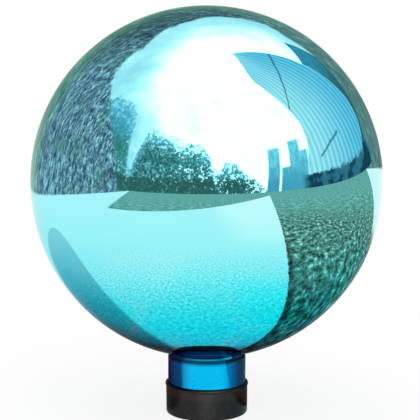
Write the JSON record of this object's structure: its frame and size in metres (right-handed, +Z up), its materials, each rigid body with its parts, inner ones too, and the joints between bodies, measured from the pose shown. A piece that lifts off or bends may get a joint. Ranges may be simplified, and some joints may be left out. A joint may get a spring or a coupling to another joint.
{
  "type": "garden gazing ball",
  "caption": "Mirrored turquoise glass globe on a short blown neck, sealed by a bung and a push-on rubber foot cap, for standing in a garden globe stand.",
  "frame": {"origin": "centre of the cap's flat base, where the ball stands when it is put down upright", "axes": "+Z up the common axis of cap, neck and globe; the object is round about Z, so X and Y are free, with -Y towards the picture's camera"},
  "size_m": [0.254, 0.254, 0.2975],
  "materials": {
    "tinted_glass": "blown turquoise glass, mirrored from the inside, polished",
    "silvering": "silver film under backing paint",
    "bung_rubber": "matte dark rubber",
    "cap_rubber": "satin black rubber"
  },
  "bodies": {
    "cap": {"end_cap": "cap_rubber"},
    "globe": {"glass_globe": "tinted_glass", "mirror_lining": "silvering", "neck_stopper": "bung_rubber"}
  },
  "joints": [
    {"name": "cap_pull_off", "type": "slide", "parent": "cap", "child": "globe", "axis": [0, 0, 1], "range_m": [0, 0.03]}
  ]
}
